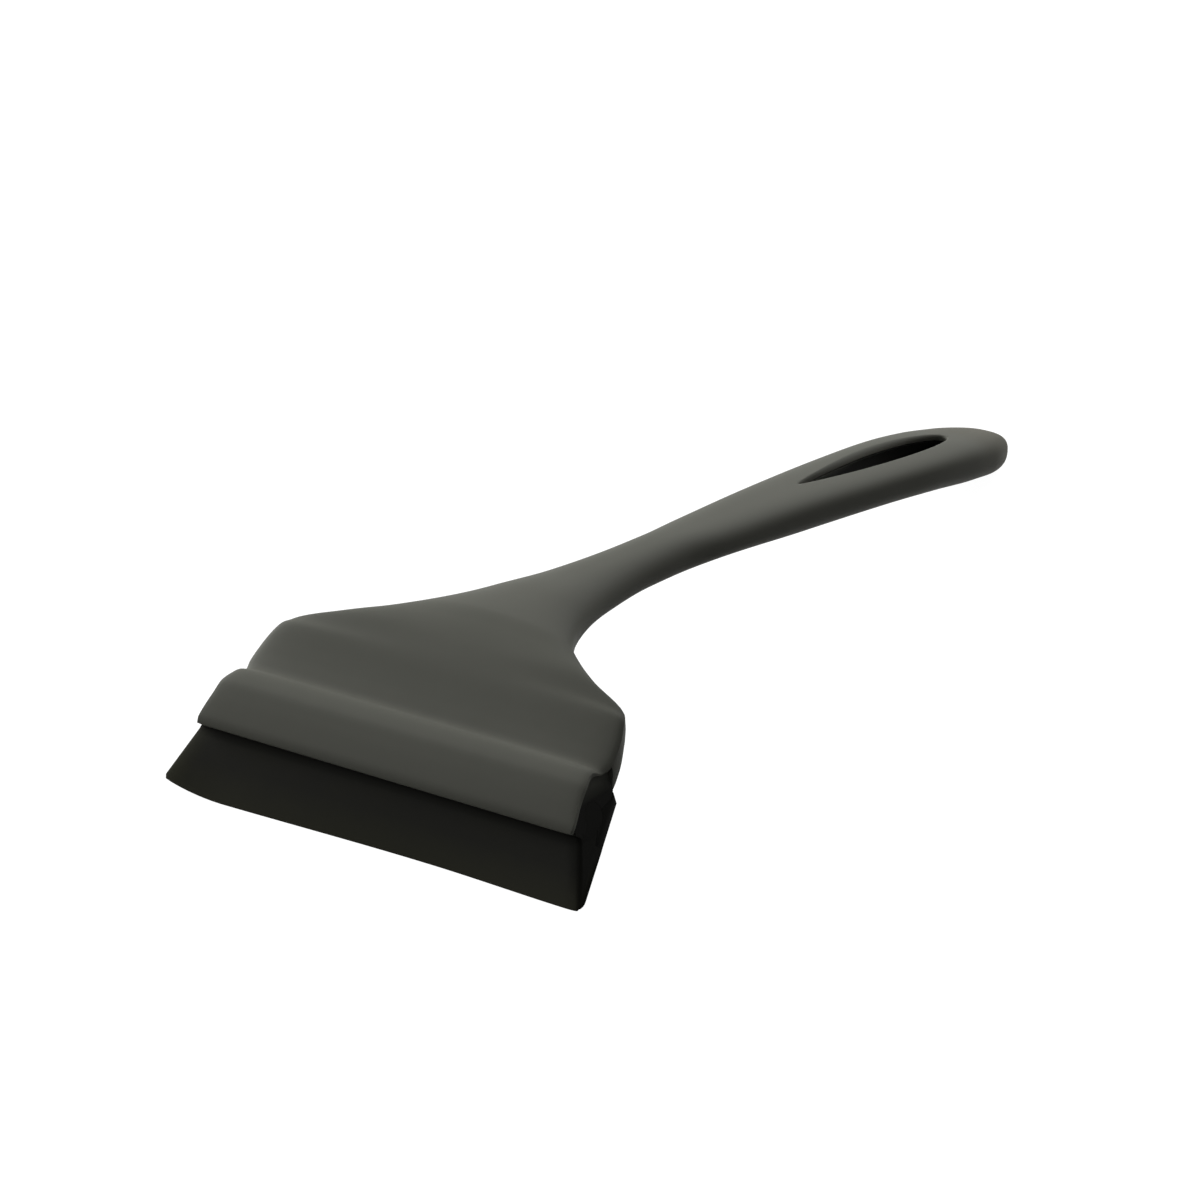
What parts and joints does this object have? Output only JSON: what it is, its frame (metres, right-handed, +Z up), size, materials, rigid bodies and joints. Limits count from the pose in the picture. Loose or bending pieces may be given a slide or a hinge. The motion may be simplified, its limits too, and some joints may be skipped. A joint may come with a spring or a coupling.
{
  "type": "hand squeegee",
  "caption": "Hand squeegee with a fan-shaped head, a soft curved handle with a hanging slot, and a wedge-shaped rubber blade held in a clamped channel.",
  "frame": {"origin": "middle of the length and width, on the table that the squeegee lies on", "axes": "+X runs across the blade, +Y from the blade's edge to the handle's tail, +Z up from the table"},
  "size_m": [0.139, 0.3359, 0.049],
  "materials": {
    "soft_skin": "matt, soft to the touch",
    "frame": "fine matt grain",
    "blade_rubber": "smooth, dull",
    "steel": "plain"
  },
  "bodies": {
    "squeegee": {"soft_grip_skin": "soft_skin", "core_frame": "frame", "rear_clamp_jaw": "frame", "clamp_screw_left": "steel", "clamp_screw_middle": "steel", "clamp_screw_right": "steel"},
    "blade": {"blade_root": "blade_rubber", "blade_stiffener": "steel"},
    "lip": {"blade_lip": "blade_rubber"}
  },
  "joints": [
    {"name": "blade_slide", "type": "slide", "parent": "squeegee", "child": "blade", "axis": [1, 0, 0], "range_m": [-0.128, 0.128]},
    {"name": "blade_flex", "type": "hinge", "parent": "blade", "child": "lip", "pos_m": [0, -0.15974, 0.00936], "axis": [1, 0, 0], "range_deg": [-22, 22], "stiffness_Nm_per_rad": 1}
  ]
}
